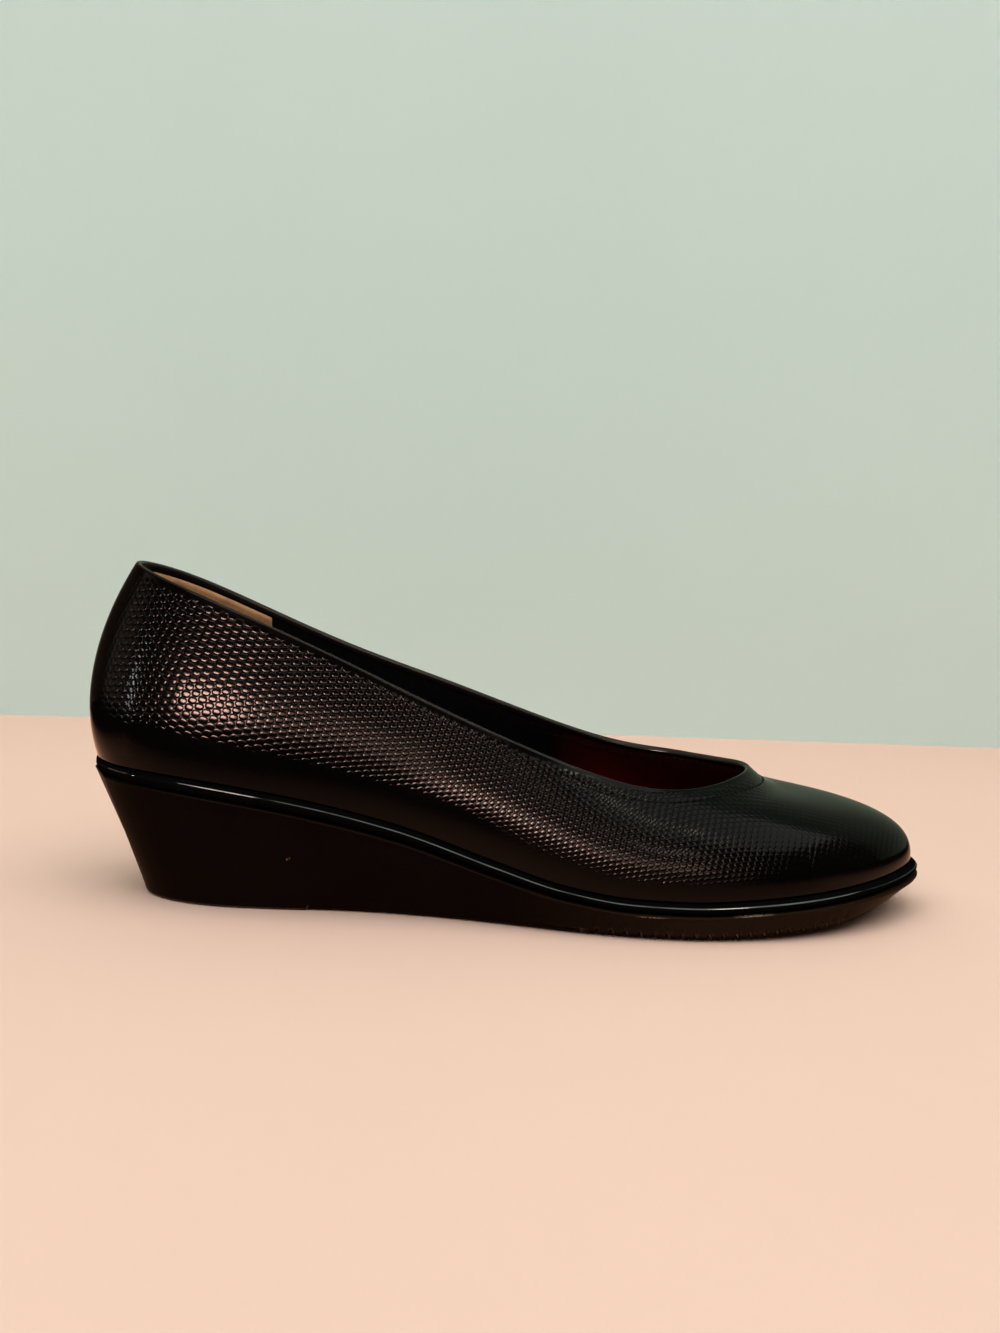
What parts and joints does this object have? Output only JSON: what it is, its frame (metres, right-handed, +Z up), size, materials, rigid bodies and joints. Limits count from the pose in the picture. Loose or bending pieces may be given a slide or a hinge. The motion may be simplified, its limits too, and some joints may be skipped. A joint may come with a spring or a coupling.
{
  "type": "low wedge court shoe",
  "caption": "Closed-toe slip-on court shoe for a woman's right foot, with a low wedge heel, a glossy rand, an embossed leather upper and a ribbed forefoot sole.",
  "frame": {"origin": "centre of the shoe's box on the floor that the sole stands on", "axes": "+X from heel to toe, +Y to the inner (medial) side, +Z up"},
  "size_m": [0.2514, 0.0862, 0.097],
  "materials": {
    "sole": "satin brown-black moulded rubber",
    "rand": "glossy black half-round bead",
    "upper": "black leather embossed with small raised scales",
    "insole": "very dark red sock lining",
    "lining": "black woven lining",
    "heel_lining": "tan suede heel grip",
    "thread": "black sewing thread"
  },
  "bodies": {
    "root": {"sole": "sole", "rand": "rand", "upper": "upper", "insole": "insole"}
  },
  "joints": []
}
